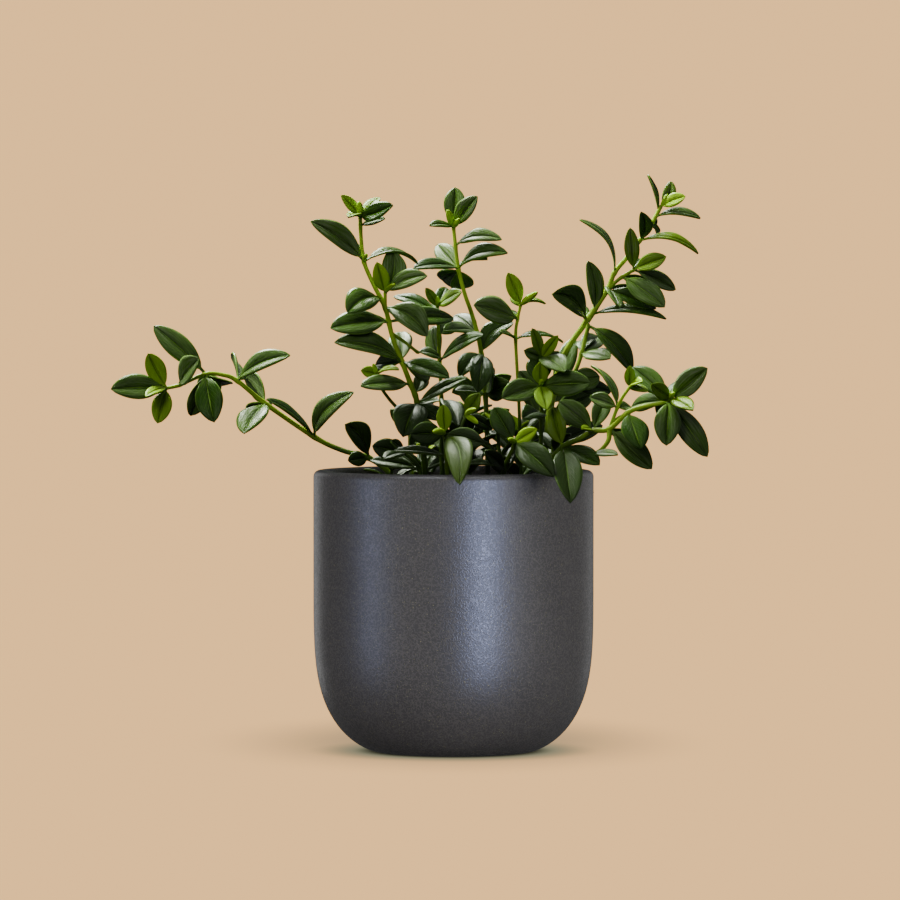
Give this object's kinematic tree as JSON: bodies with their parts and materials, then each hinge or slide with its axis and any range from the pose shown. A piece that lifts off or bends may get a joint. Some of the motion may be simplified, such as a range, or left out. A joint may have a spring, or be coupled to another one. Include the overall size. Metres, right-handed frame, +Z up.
{
  "type": "potted goldfish plant",
  "caption": "Leafy trailing house plant with thick pointed oval leaves on upright and hanging stems, in a round-bottomed satin grey pot.",
  "frame": {"origin": "the middle of the pot's flat underside", "axes": "+Z up out of the pot, -Y towards the front, +X to the right seen from the front"},
  "size_m": [0.2952, 0.2149, 0.2884],
  "materials": {
    "pot": "dark grey satin glaze with a fine leathery grain",
    "soil": "damp dark potting soil, rough",
    "foliage": "waxy glossy dark green leaves with lime young growth"
  },
  "bodies": {
    "root": {"pot": "pot", "soil": "soil", "stem_left_trailing": "foliage", "stem_left_tall": "foliage", "stem_middle_left": "foliage", "stem_centre": "foliage", "stem_thin_upright": "foliage", "stem_two_rosettes": "foliage", "stem_right_tall": "foliage", "stem_right_trailing": "foliage", "stem_front_rosette": "foliage", "stem_front_right": "foliage", "stem_left_low": "foliage", "stem_low_left": "foliage", "stem_low_middle": "foliage", "stem_low_right": "foliage", "stem_low_front": "foliage", "stem_low_centre": "foliage", "stem_low_behind": "foliage", "stem_low_back": "foliage", "stem_rear_left": "foliage", "stem_rear_centre": "foliage", "stem_rear_right": "foliage", "stem_rear_trailing": "foliage", "stem_rear_side": "foliage"}
  },
  "joints": []
}
